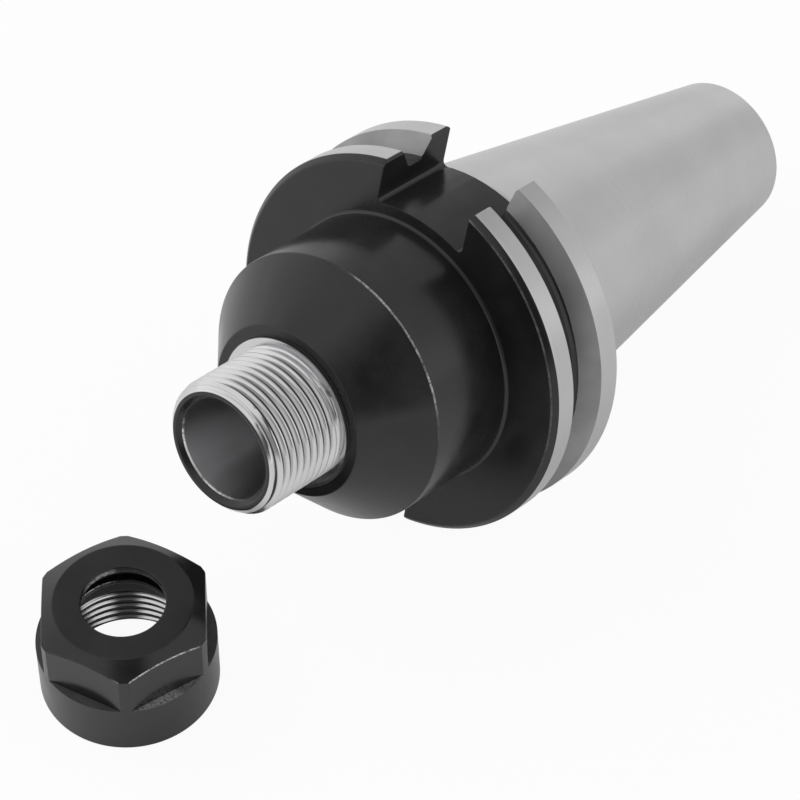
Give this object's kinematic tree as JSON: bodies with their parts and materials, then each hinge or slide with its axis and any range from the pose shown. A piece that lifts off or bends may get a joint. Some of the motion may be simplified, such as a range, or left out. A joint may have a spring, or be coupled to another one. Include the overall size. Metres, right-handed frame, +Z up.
{
  "type": "collet chuck holder",
  "caption": "Tool holder with a steep spindle taper, a gripper flange and a threaded collet nose, lying beside its hexagon clamping nut.",
  "frame": {"origin": "centre of the gauge line, on the tool axis where the taper is 44.45 mm across", "axes": "+X ahead, the way the nose points, +Z up. The tool axis leans nose up by 14.4 degrees, because the holder lies on its flange and on the small end of its taper."},
  "size_m": [0.1577, 0.0636, 0.063],
  "materials": {
    "holder_steel": "ground steel on the taper, the flange lands and the nose thread, black oxide elsewhere",
    "nut_steel": "satin black oxide over turned steel"
  },
  "bodies": {
    "root": {"holder_body": "holder_steel", "clamping_nut": "nut_steel"}
  },
  "joints": []
}
